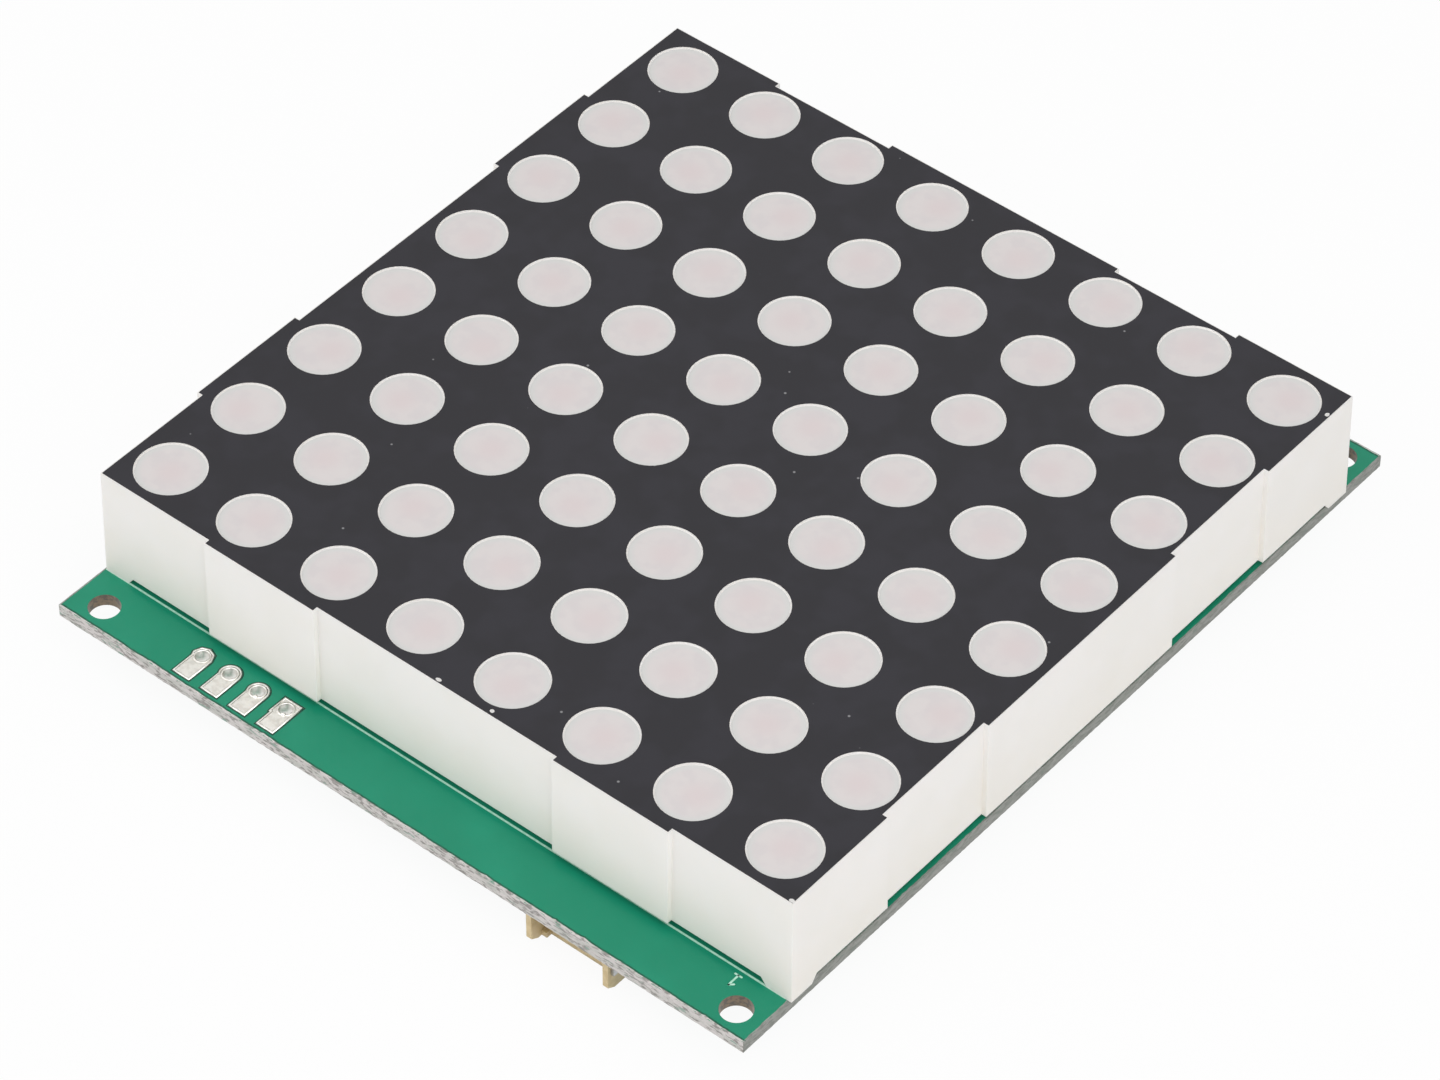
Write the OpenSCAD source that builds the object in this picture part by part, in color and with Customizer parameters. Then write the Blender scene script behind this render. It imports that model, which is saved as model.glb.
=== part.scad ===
// Square LED dot matrix display on its driver board.
//
// Origin: centre of the four mounting holes, on the underside of the driver board.
// +Z points out of the display face, and -Y towards the edge with the header pads.
// Everything on the underside of the board lies below z = 0.

/* [Display face] */
// Distance between neighbouring dots
dot_pitch = 7.62; // [7.5:0.01:7.7]
// Diameter of one filled dot
dot_d = 4.86; // [4.2:0.02:5]
// Diameter of the openings in the face, one round each dot
opening_d = 5.1; // [5.1:0.1:5.6]
// How far the dots lie below the face
dot_recess = 0.14; // [0.05:0.01:0.3]
// Thickness of the printed black film
film_t = 0.03; // [0.02:0.01:0.1]
// Bare white margin between the film and the edges of the face
film_margin = 0.08; // [0.04:0.01:0.15]

/* [Reflector housing] */
// Side of the square face
module_w = 60; // [59.6:0.1:60.2]
// Height from the driver board to the face
module_h = 9.2; // [8.6:0.1:12]
// How far each wall flares out from the face down to the feet
wall_draft = 0.15; // [0:0.05:0.3]
// Thickness of the outer wall around the board pocket
wall_t = 1.2; // [1:0.1:1.6]
// Diameter of each reflector cup at its bottom
cup_bottom_d = 3.8; // [3:0.1:4.2]
// Thickness of the plate above the cored holes
face_plate_t = 1.2; // [0.8:0.1:2]
// Diameter of the cored holes between the cups
core_d = 3.2; // [2:0.1:3.6]
// Width of each interlocking tongue
tongue_w = 9.8; // [8:0.1:10]
// How far a tongue stands out of its wall
tongue_t = 0.4; // [0.2:0.05:0.6]
// Extra width of a groove over a tongue
groove_play = 0.5; // [0.2:0.1:1]
// Length of each corner foot along the wall
foot_w = 1.9; // [1.5:0.1:3]
// Gap between the walls and the driver board
foot_h = 0.65; // [0.4:0.05:0.8]

/* [Inside the housing] */
// Thickness of the board that carries the light-emitting dies
die_board_t = 1; // [0.8:0.1:1.2]
// Thickness of the epoxy poured behind that board
potting_t = 0.7; // [0.4:0.1:0.8]
// Side of one die
die_w = 0.3; // [0.2:0.05:0.4]
// Height of one die
die_t = 0.15; // [0.1:0.05:0.2]
// Distance between the three dies of one dot
die_pitch = 0.7; // [0.5:0.1:0.9]

/* [Display pins] */
// Diameter of a pin
pin_d = 0.5; // [0.4:0.05:0.6]
// How far the pins stand out below the driver board
pin_tail = 3.3; // [1.9:0.1:3.3]
// Distance between neighbouring pins
pin_pitch = 2.54; // [2.5:0.01:2.54]
// Distance between the two pin rows
pin_row_span = 45.72; // [44:0.01:47]

/* [Driver board] */
// Width of the board, across the header edge
board_w = 60.2; // [60.2:0.1:62]
// Length of the board
board_l = 69.3; // [69.2:0.1:72]
// How far the routed outline sits towards +X from the holes
board_shift = -0.2; // [-0.3:0.1:0.3]
// Thickness of the board
board_t = 1; // [0.8:0.1:1.6]
// Diameter of the mounting holes
hole_d = 2.3; // [2:0.1:2.4]
// Distance between mounting holes along X
hole_span_x = 55.6; // [54:0.1:56]
// Distance between mounting holes along Y
hole_span_y = 65.6; // [65.4:0.1:66]

/* [Header pads] */
// Width of a pad
pad_w = 1.5; // [1.3:0.1:1.6]
// Diameter of the plated hole in a pad
pad_hole_d = 1; // [0.8:0.1:1]
// Diameter of the round end of a pad
pad_ring_d = 1.62; // [1.62:0.02:1.8]

/* [Cable socket] */
// Width of the socket housing
socket_w = 7; // [6.6:0.1:8]
// Height of the socket housing
socket_h = 3.4; // [3.2:0.1:4]
// Depth of the socket housing, with its side walls
socket_d = 5; // [4.8:0.1:6]
// Thickness of the socket walls
socket_wall = 0.45; // [0.35:0.05:0.5]
// Distance between neighbouring contacts
contact_pitch = 1.25; // [1:0.05:1.3]
// Side of the square contacts
contact_w = 0.32; // [0.25:0.01:0.4]

/* [Hidden] */
$fn = 48;

cut = 0.01;             // how far a cutting shape runs past a face
dot_count = 8;
row_pins = 16;

// Levels above the underside of the driver board
face_z = board_t + module_h;
film_z = face_z - film_t;
dot_z = face_z - dot_recess;
wall_z = board_t + foot_h;
potting_z = wall_z + 0.1;
die_board_z = potting_z + potting_t;
cup_z = die_board_z + die_board_t;
pocket_w = module_w - 2 * wall_t;

// Where the tongues and grooves sit along each wall
tongue_at = 2 * dot_pitch;
groove_w = tongue_w + groove_play;
foot_slope = 0.5;

// Header pads on the front strip of the board
header_count = 4;
header_pitch = 2.54;
header_x = -15.7;
header_y = -31.95;
pad_end_y = -34.15;
pad_t = 0.05;
plating_t = 0.1;
strap_shift = (pad_ring_d - pad_w) / 2;

// Solder around a display pin
pin_hole_r = 0.45;
solder_r = 0.85;
solder_h = 0.9;

// The cable socket hangs below the front strip, with its mouth towards -Y
socket_x = 14.65;
socket_front_y = -34.15;
ear_l = 1.45;           // how far the side walls reach in front of the lower wall
ear_chamfer = [0.65, 0.4];
gusset_w = 0.45;
socket_back_t = 1.1;
contact_count = 4;
contact_z = 1.75;
anchor_w = 0.85;
anchor_h = 1.9;
anchor_l = 2;
anchor_t = 0.25;

// Parts on the underside: [x, y] of each centre
controller_at = [0, -8];
driver_left_at = [-14, 4];
driver_right_at = [14, 4];
regulator_at = [0, -29];
input_capacitor_at = [6.4, -29];
output_capacitor_at = [-6.4, -29];
switch_y = 17.2;
switch_pitch = 5.08;
gate_resistor_y = 12.6;
decoupling_at = [[-8.2, -8], [8.2, -8], [0, -15], [0, -1.2], [-14, -1.4], [14, -1.4]];
pull_up_at = [[21.2, -29.4], [23.2, -29.4]];
current_set_at = [[-22, 4], [22, 4]];

// Chip packages: [length along X, width along Y, height]
controller_size = [7, 7, 1.4];
dot_driver_size = [8.65, 3.9, 1.5];
switch_size = [2.9, 1.3, 1.05];
regulator_size = [6.5, 3.5, 1.6];
bulk_size = [1.6, 3.2, 1.3];
small_size = [0.8, 1.6, 0.8];
resistor_size = [0.8, 1.6, 0.45];
package_lift = 0.08;    // gap between a package and the board
lead_t = 0.15;
mould_slope = 0.12;     // how far a package side leans in above and below its leads
end_share = 0.22;       // share of a small part's length that each metal end takes
end_proud = 0.02;       // how far a metal end stands proud of the body

// Places of the dots, the cored holes and the pins
function spread(count, pitch) = [for (i = [0:count - 1]) (i - (count - 1) / 2) * pitch];
dot_at = spread(dot_count, dot_pitch);
core_at = spread(dot_count - 1, dot_pitch);
pin_at = spread(row_pins, pin_pitch);
header_at = [for (x = spread(header_count, header_pitch)) header_x + x];
switch_at = spread(dot_count, switch_pitch);
gate_at = [for (x = switch_at) [x, gate_resistor_y]];

// ---- Display face and housing ----

// Outline of the film: the face with its tongues and grooves, less a bare margin all round
module film_outline() {
    half = module_w / 2;
    gap = film_margin;
    difference() {
        union() {
            square(module_w - 2 * gap, center = true);
            for (turn = [0, -90], side = [-1, 1])
                rotate(turn)
                    translate([side * tongue_at, -half])
                        square([tongue_w - 2 * gap, 2 * (tongue_t - gap)], center = true);
        }
        for (turn = [0, -90], side = [-1, 1])
            rotate(turn)
                translate([side * tongue_at, half])
                    square([groove_w + 2 * gap, 2 * (tongue_t + gap)], center = true);
    }
}

// Black film with one opening for each dot
module face_film() {
    color("#3a3a3e")
        translate([0, 0, film_z])
            linear_extrude(film_t)
                difference() {
                    film_outline();
                    for (x = dot_at, y = dot_at)
                        translate([x, y]) circle(d = opening_d);
                }
}

// Bar along Y whose sides flare out towards the driver board
module flared_bar(grow) {
    top = module_w / 2 + grow;
    foot = top + wall_draft;
    rotate([90, 0, 0])
        linear_extrude(height = 2 * module_w, center = true)
            polygon([[-foot, board_t], [foot, board_t], [top, film_z], [-top, film_z]]);
}

// Block with four flared walls, grown outwards or inwards
module flared_block(grow = 0) {
    intersection() {
        flared_bar(grow);
        rotate(90) flared_bar(grow);
    }
}

// Tall slots that mark out the tongues (side -1) or the grooves (side 1)
module wall_slots(side, width) {
    depth = 4;
    for (turn = [0, -90], place = [-1, 1])
        rotate(turn)
            translate([place * tongue_at, side * module_w / 2, face_z / 2])
                cube([width, depth, 2 * face_z], center = true);
}

// Opening under a pair of walls, which leaves a foot at each corner
module under_wall() {
    reach = module_w / 2 - foot_w;
    rotate([90, 0, 0])
        linear_extrude(height = 2 * module_w, center = true)
            polygon([
                [-reach, board_t - cut], [reach, board_t - cut],
                [reach, board_t], [reach - foot_slope, wall_z],
                [foot_slope - reach, wall_z], [-reach, board_t]
            ]);
}

// Moulded white housing: 64 reflector cups, cored between them, over a pocket for the die board
module reflector_housing() {
    core_top = film_z - face_plate_t;
    color("#e6e4de")
        difference() {
            union() {
                flared_block();
                intersection() {
                    flared_block(tongue_t);
                    wall_slots(-1, tongue_w);
                }
            }
            difference() {
                wall_slots(1, groove_w);
                flared_block(-tongue_t);
            }
            under_wall();
            rotate(90) under_wall();
            translate([-pocket_w / 2, -pocket_w / 2, board_t - cut])
                cube([pocket_w, pocket_w, cup_z - board_t + cut]);
            for (x = dot_at, y = dot_at)
                translate([x, y, 0]) {
                    translate([0, 0, cup_z]) cup();
                    translate([0, 0, dot_z]) cylinder(d = opening_d, h = 2 * dot_recess);
                }
            for (x = core_at, y = core_at)
                translate([x, y, cup_z - cut])
                    cylinder(d = core_d, h = core_top - cup_z);
        }
}

// Inside of one reflector cup, wider towards the face
module cup() {
    cylinder(d1 = cup_bottom_d, d2 = dot_d, h = dot_z - cup_z);
}

// One milky epoxy plug for each cup, cast round the three dies of that dot
module diffuser_dots() {
    color("#dcd6d8")
        for (x = dot_at, y = dot_at)
            translate([x, y, cup_z])
                difference() {
                    cup();
                    for (place = [-1, 0, 1])
                        translate([place * die_pitch - die_w / 2, -die_w / 2, -cut])
                            cube([die_w, die_w, die_t + cut]);
                }
}

module red_dies() {
    color("firebrick") dies(-1);
}

module green_dies() {
    color("seagreen") dies(0);
}

module blue_dies() {
    color("royalblue") dies(1);
}

// Dies of one colour, one in each cup
module dies(place) {
    for (x = dot_at, y = dot_at)
        translate([x + place * die_pitch - die_w / 2, y - die_w / 2, cup_z])
            cube([die_w, die_w, die_t]);
}

// Square plate in the housing's pocket, with a hole for each pin
module pocket_plate(z, t) {
    translate([0, 0, z])
        linear_extrude(t)
            difference() {
                square(pocket_w, center = true);
                for (side = [-1, 1], x = pin_at)
                    translate([x, side * pin_row_span / 2]) circle(d = pin_d);
            }
}

module die_board() {
    color("#cfd6c8") pocket_plate(die_board_z, die_board_t);
}

module potting() {
    color("#e3dccf") pocket_plate(potting_z, potting_t);
}

// Sixteen round pins with chamfered tips, along the front (-1) or the rear (1)
module pin_row(side) {
    tip = 0.15;
    top_gap = 0.1;
    color("silver")
        for (x = pin_at)
            translate([x, side * pin_row_span / 2, -pin_tail]) {
                cylinder(d1 = pin_d - 2 * tip, d2 = pin_d, h = tip);
                translate([0, 0, tip]) cylinder(d = pin_d, h = pin_tail + cup_z - top_gap - tip);
            }
}

// ---- Driver board ----

module driver_board() {
    color("#2b8d6d")
        linear_extrude(board_t)
            difference() {
                translate([board_shift, 0]) square([board_w, board_l], center = true);
                for (x = [-1, 1], y = [-1, 1])
                    translate([x * hole_span_x / 2, y * hole_span_y / 2]) circle(d = hole_d);
                for (side = [-1, 1], x = pin_at)
                    translate([x, side * pin_row_span / 2]) circle(r = pin_hole_r);
                for (x = header_at)
                    translate([x, header_y]) circle(d = pad_hole_d + 2 * plating_t);
            }
}

// Solder that fills each pin hole and climbs the pin below the board
module pin_solder(side) {
    color("#c4c6c8")
        for (x = pin_at)
            translate([x, side * pin_row_span / 2, 0])
                rotate_extrude()
                    polygon([
                        [pin_d / 2, board_t], [pin_hole_r, board_t], [pin_hole_r, 0],
                        [solder_r, 0], [solder_r, -0.05], [0.5, -0.35],
                        [0.32, -solder_h], [pin_d / 2, -solder_h]
                    ]);
}

// End of a header pad round its hole: eight-sided, round or square by its place in the row
module pad_end(place) {
    if (place == 0) circle(d = pad_ring_d * 1.04, $fn = 8);
    else if (place == header_count - 1) square(pad_ring_d, center = true);
    else circle(d = pad_ring_d);
}

// Four tinned pads that run from a plated hole towards the board's edge
module header_pads() {
    color("#d8d4d0")
        for (i = [0:header_count - 1])
            translate([header_at[i], header_y, 0])
                difference() {
                    union() {
                        translate([0, 0, board_t])
                            linear_extrude(pad_t) {
                                pad_end(i);
                                translate([strap_shift - pad_w / 2, pad_end_y - header_y])
                                    square([pad_w, header_y - pad_end_y]);
                            }
                        translate([0, 0, -pad_t]) linear_extrude(pad_t) pad_end(i);
                        cylinder(d = pad_hole_d + 2 * plating_t, h = board_t);
                    }
                    translate([0, 0, -1]) cylinder(d = pad_hole_d, h = board_t + 2);
                }
}

// ---- Cable socket ----

// Turns a shape built upwards from a board into one that hangs below the driver board
module below_board(at) {
    translate([at[0], at[1], 0]) mirror([0, 0, 1]) children();
}

module socket_housing() {
    inner_w = socket_w - 2 * socket_wall;
    back_y = socket_d - socket_back_t;
    color("#d9c9a3")
        below_board([socket_x, socket_front_y])
            difference() {
                union() {
                    translate([-socket_w / 2, ear_l, 0])
                        cube([socket_w, socket_d - ear_l, socket_h]);
                    for (side = [-1, 1]) {
                        translate([side * (socket_w - socket_wall) / 2, 0, 0]) socket_ear();
                        translate([side * (inner_w - gusset_w) / 2, ear_l, socket_h - socket_wall / 2])
                            cube([gusset_w, 2 * gusset_w, socket_wall], center = true);
                    }
                    translate([-inner_w / 2, socket_wall, 0]) cube([inner_w, ear_l, socket_wall]);
                }
                translate([-inner_w / 2, -cut, socket_wall])
                    cube([inner_w, back_y + cut, socket_h - 2 * socket_wall]);
                for (x = spread(contact_count, contact_pitch))
                    translate([x - contact_w / 2, back_y - cut, contact_z - contact_w / 2])
                        cube([contact_w, socket_back_t + 2 * cut, contact_w]);
            }
}

// Side wall of the socket in front of the lower wall, with its low corner cut off
module socket_ear() {
    rotate([90, 0, 90])
        linear_extrude(height = socket_wall, center = true)
            polygon([
                [0, 0], [ear_l + cut, 0], [ear_l + cut, socket_h],
                [ear_chamfer[0], socket_h], [0, socket_h - ear_chamfer[1]]
            ]);
}

// Four bent contacts: through the back wall, down behind it and out along the board
module socket_contacts() {
    tip_y = 0.9;
    rise_y = socket_d + 0.25;
    foot_y = socket_d + 1.5;
    low = contact_z - contact_w / 2;
    high = contact_z + contact_w / 2;
    foot_t = 0.25;
    color("#d6c68f")
        below_board([socket_x, socket_front_y])
            for (x = spread(contact_count, contact_pitch))
                translate([x + contact_w / 2, 0, 0])
                    rotate([0, -90, 0])
                        linear_extrude(contact_w)
                            polygon([
                                [low, tip_y], [high, tip_y], [high, rise_y + contact_w],
                                [foot_t, rise_y + contact_w], [foot_t, foot_y], [0, foot_y],
                                [0, rise_y], [low, rise_y]
                            ]);
}

// Tin-plated angle that holds one side of the socket to the board
module socket_anchor(side) {
    front_y = 0.3;
    color("#bfc1c2")
        below_board([socket_x + side * socket_w / 2, socket_front_y + front_y])
            rotate([90, 0, 0])
                mirror([0, 0, 1])
                    linear_extrude(anchor_l)
                        polygon([
                            [0, 0], [side * anchor_w, 0], [side * anchor_w, anchor_t],
                            [side * anchor_t, anchor_t], [side * anchor_t, anchor_h], [0, anchor_h]
                        ]);
}

// ---- Chips ----

// Bar along Y whose sides lean in above and below a flat band at the lead level
module package_bar(width, length, height) {
    band = package_lift + height / 2;
    half = width / 2;
    lean = mould_slope;
    rotate([90, 0, 0])
        linear_extrude(height = length, center = true)
            polygon([
                [lean - half, package_lift], [half - lean, package_lift],
                [half, band - lead_t / 2], [half, band + lead_t / 2],
                [half - lean, package_lift + height], [lean - half, package_lift + height],
                [-half, band + lead_t / 2], [-half, band - lead_t / 2]
            ]);
}

// Moulded black package with a round dimple beside its first lead
module package_body(size, dimple_r) {
    inset = 2 * dimple_r + 0.25;
    color("#26262a")
        difference() {
            intersection() {
                package_bar(size[0], 2 * size[1], size[2]);
                rotate(90) package_bar(size[1], 2 * size[0], size[2]);
            }
            translate([inset - size[0] / 2, inset - size[1] / 2, package_lift + size[2] - 0.08])
                cylinder(r = dimple_r, h = 1);
        }
}

// Gull-wing lead that leaves a package side towards +X at height level
module gull_lead(width, level, reach, foot) {
    knee = 0.22;
    lean = 0.12;
    color("#c9cbcc")
        translate([0, width / 2, 0])
            rotate([90, 0, 0])
                linear_extrude(width)
                    polygon([
                        [0, level - lead_t / 2], [knee, level - lead_t / 2],
                        [reach - foot - lean, 0], [reach, 0], [reach, lead_t],
                        [reach - foot + 0.06, lead_t], [knee + lead_t, level + lead_t / 2],
                        [0, level + lead_t / 2]
                    ]);
}

// Row of gull-wing leads along one side of a package
module lead_row(count, pitch, side_x, width, level, reach, foot) {
    for (y = spread(count, pitch))
        translate([side_x, y, 0]) gull_lead(width, level, reach, foot);
}

module controller_body() {
    below_board(controller_at) package_body(controller_size, 0.4);
}

module controller_leads() {
    level = package_lift + controller_size[2] / 2;
    below_board(controller_at)
        for (turn = [0:90:270])
            rotate(turn) lead_row(12, 0.5, controller_size[0] / 2, 0.22, level, 1, 0.55);
}

module dot_driver_body(at) {
    below_board(at) package_body(dot_driver_size, 0.35);
}

module dot_driver_leads(at) {
    level = package_lift + dot_driver_size[2] / 2;
    below_board(at)
        for (turn = [90, 270])
            rotate(turn) lead_row(12, 0.635, dot_driver_size[1] / 2, 0.25, level, 1.05, 0.6);
}

module row_switch(x) {
    below_board([x, switch_y]) package_body(switch_size, 0.1);
}

module row_switch_leads() {
    level = package_lift + switch_size[2] / 2;
    for (x = switch_at)
        below_board([x, switch_y]) {
            rotate(90) lead_row(1, 1, switch_size[1] / 2, 0.42, level, 0.6, 0.3);
            rotate(270) lead_row(2, 1.9, switch_size[1] / 2, 0.42, level, 0.6, 0.3);
        }
}

module regulator_body() {
    below_board(regulator_at) package_body(regulator_size, 0.3);
}

// Three narrow leads on one side and the wide heat tab on the other
module regulator_leads() {
    level = package_lift + regulator_size[2] / 2;
    below_board(regulator_at) {
        rotate(90) lead_row(1, 1, regulator_size[1] / 2, 3, level, 1.75, 1);
        rotate(270) lead_row(3, 2.3, regulator_size[1] / 2, 0.7, level, 1.75, 1);
    }
}

// ---- Small chip parts, each lying along Y ----

module chip_bodies(places, size, shade) {
    body_l = size[1] * (1 - 2 * end_share);
    color(shade)
        for (at = places)
            below_board(at)
                translate([end_proud - size[0] / 2, -body_l / 2, end_proud])
                    cube([size[0] - 2 * end_proud, body_l, size[2] - 2 * end_proud]);
}

module chip_ends(places, size) {
    end_l = size[1] * end_share;
    color("#c9cbcc")
        for (at = places, side = [-1, 1])
            below_board([at[0], at[1] + side * (size[1] - end_l) / 2])
                translate([-size[0] / 2, -end_l / 2, 0])
                    cube([size[0], end_l, size[2]]);
}

module bulk_capacitor_ends() {
    chip_ends([input_capacitor_at, output_capacitor_at], bulk_size);
}

module resistor_ends() {
    chip_ends(concat(gate_at, pull_up_at, current_set_at), resistor_size);
}

module input_capacitor() {
    chip_bodies([input_capacitor_at], bulk_size, "tan");
}

module output_capacitor() {
    chip_bodies([output_capacitor_at], bulk_size, "tan");
}

module decoupling_capacitors() {
    chip_bodies(decoupling_at, small_size, "tan");
}

module decoupling_capacitor_ends() {
    chip_ends(decoupling_at, small_size);
}

module gate_resistors() {
    chip_bodies(gate_at, resistor_size, "#222222");
}

module pull_up_resistors() {
    chip_bodies(pull_up_at, resistor_size, "#222222");
}

module current_set_resistors() {
    chip_bodies(current_set_at, resistor_size, "#222222");
}

// ---- One line for each node ----

face_film();
reflector_housing();
diffuser_dots();
red_dies();
green_dies();
blue_dies();
die_board();
potting();
pin_row(-1);  // front_pin_row
pin_row(1);  // rear_pin_row
driver_board();
pin_solder(-1);  // front_pin_solder
pin_solder(1);  // rear_pin_solder
header_pads();
socket_housing();
socket_contacts();
socket_anchor(-1);  // socket_anchor_left
socket_anchor(1);  // socket_anchor_right
controller_body();
controller_leads();
dot_driver_body(driver_left_at);  // dot_driver_left_body
dot_driver_leads(driver_left_at);  // dot_driver_left_leads
dot_driver_body(driver_right_at);  // dot_driver_right_body
dot_driver_leads(driver_right_at);  // dot_driver_right_leads
for (i = [0:dot_count - 1])
    row_switch(switch_at[i]);
row_switch_leads();
regulator_body();
regulator_leads();
input_capacitor();
output_capacitor();
bulk_capacitor_ends();
decoupling_capacitors();
decoupling_capacitor_ends();
gate_resistors();
pull_up_resistors();
current_set_resistors();
resistor_ends();
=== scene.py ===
"""Dressed model of a square LED dot matrix display on its driver board.

Every solid of the frame keeps its own mesh and gets a finish here. What is too fine for the solids is made
as pieces of its own: white ink, openings in the solder mask, cut board edges, solder fillets and copper
tracks. Sizes are in millimetres of the frame, and become metres when a piece is made.
"""

from __future__ import annotations

import logging
import math
import random
from dataclasses import dataclass, field
from enum import Enum
from typing import Any, Sequence

import bmesh
import bpy
from mathutils import Matrix, Vector

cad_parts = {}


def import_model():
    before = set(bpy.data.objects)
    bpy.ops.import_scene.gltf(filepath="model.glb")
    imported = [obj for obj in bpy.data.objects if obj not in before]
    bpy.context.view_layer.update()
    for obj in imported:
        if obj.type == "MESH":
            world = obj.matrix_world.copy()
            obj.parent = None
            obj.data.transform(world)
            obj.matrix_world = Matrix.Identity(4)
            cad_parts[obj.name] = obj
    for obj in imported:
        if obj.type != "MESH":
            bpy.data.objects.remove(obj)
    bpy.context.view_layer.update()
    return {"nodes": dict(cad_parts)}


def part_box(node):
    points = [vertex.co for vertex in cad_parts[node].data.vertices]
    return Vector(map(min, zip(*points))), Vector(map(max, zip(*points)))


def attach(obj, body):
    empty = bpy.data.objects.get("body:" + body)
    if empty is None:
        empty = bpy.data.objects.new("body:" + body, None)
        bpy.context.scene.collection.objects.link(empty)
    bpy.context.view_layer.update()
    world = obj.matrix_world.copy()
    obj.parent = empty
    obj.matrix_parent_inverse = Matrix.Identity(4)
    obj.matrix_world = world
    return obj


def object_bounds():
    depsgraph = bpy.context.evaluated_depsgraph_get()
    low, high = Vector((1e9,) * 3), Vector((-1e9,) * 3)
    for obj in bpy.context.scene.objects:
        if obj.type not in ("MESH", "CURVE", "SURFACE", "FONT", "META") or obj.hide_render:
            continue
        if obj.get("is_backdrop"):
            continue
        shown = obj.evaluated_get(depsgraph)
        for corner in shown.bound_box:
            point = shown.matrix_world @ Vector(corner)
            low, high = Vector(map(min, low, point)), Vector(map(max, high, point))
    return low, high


LOG = logging.getLogger("led_dot_matrix")
MM = 0.001
BODY = "root"
DOT_PITCH = 7.62
PIN_PITCH = 2.54
INK_T = 0.015

Tree = bpy.types.NodeTree
Socket = bpy.types.NodeSocket
Point = tuple[float, float]
Outline = list[Point]
Loop = list[tuple[float, float, float]]


# ---- Colours and nodes ----


def linear(colour: str) -> tuple[float, float, float, float]:
    """Turns an sRGB hex colour into linear red, green, blue and alpha.

    Args:
        colour: Colour such as "#8fa0b0".

    Returns:
        The four linear values.
    """
    parts = [int(colour[i : i + 2], 16) / 255 for i in (1, 3, 5)]
    red, green, blue = (c / 12.92 if c <= 0.04045 else ((c + 0.055) / 1.055) ** 2.4 for c in parts)
    return red, green, blue, 1.0


def add_node(
    tree: Tree,
    kind: str,
    inputs: dict[str | int, Any] | None = None,
    **settings: Any,
) -> bpy.types.Node:
    """Adds a node with its settings, and sets or links its inputs.

    Args:
        tree: Node tree that gets the node.
        kind: Blender's name for the type of node.
        inputs: Value, or output socket to link, for each input by name or number.
        settings: Properties of the node itself.

    Returns:
        The new node.
    """
    node = tree.nodes.new(kind)
    for name, value in settings.items():
        setattr(node, name, value)
    for key, value in (inputs or {}).items():
        if isinstance(value, Socket):
            tree.links.new(value, node.inputs[key])
        else:
            node.inputs[key].default_value = value
    return node


# ---- Finishes ----


class Mix(Enum):
    """Ways in which one colour goes over another."""

    COVER = "MIX"
    DARKEN = "MULTIPLY"


@dataclass(frozen=True)
class Layer:
    """A colour that goes over the one below it, where a value is past a soft step.

    Attributes:
        colour: The layer's colour, as sRGB hex.
        low: Value at which it begins to show.
        high: Value at which it shows fully.
        value: Socket with the value; without one, it is noise.
        spacing: Distance between the patches of that noise, in millimetres.
        way: How the colour goes over the one below.
    """

    colour: str
    low: float
    high: float
    value: Socket | None = None
    spacing: float = 1.0
    way: Mix = Mix.COVER


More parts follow.
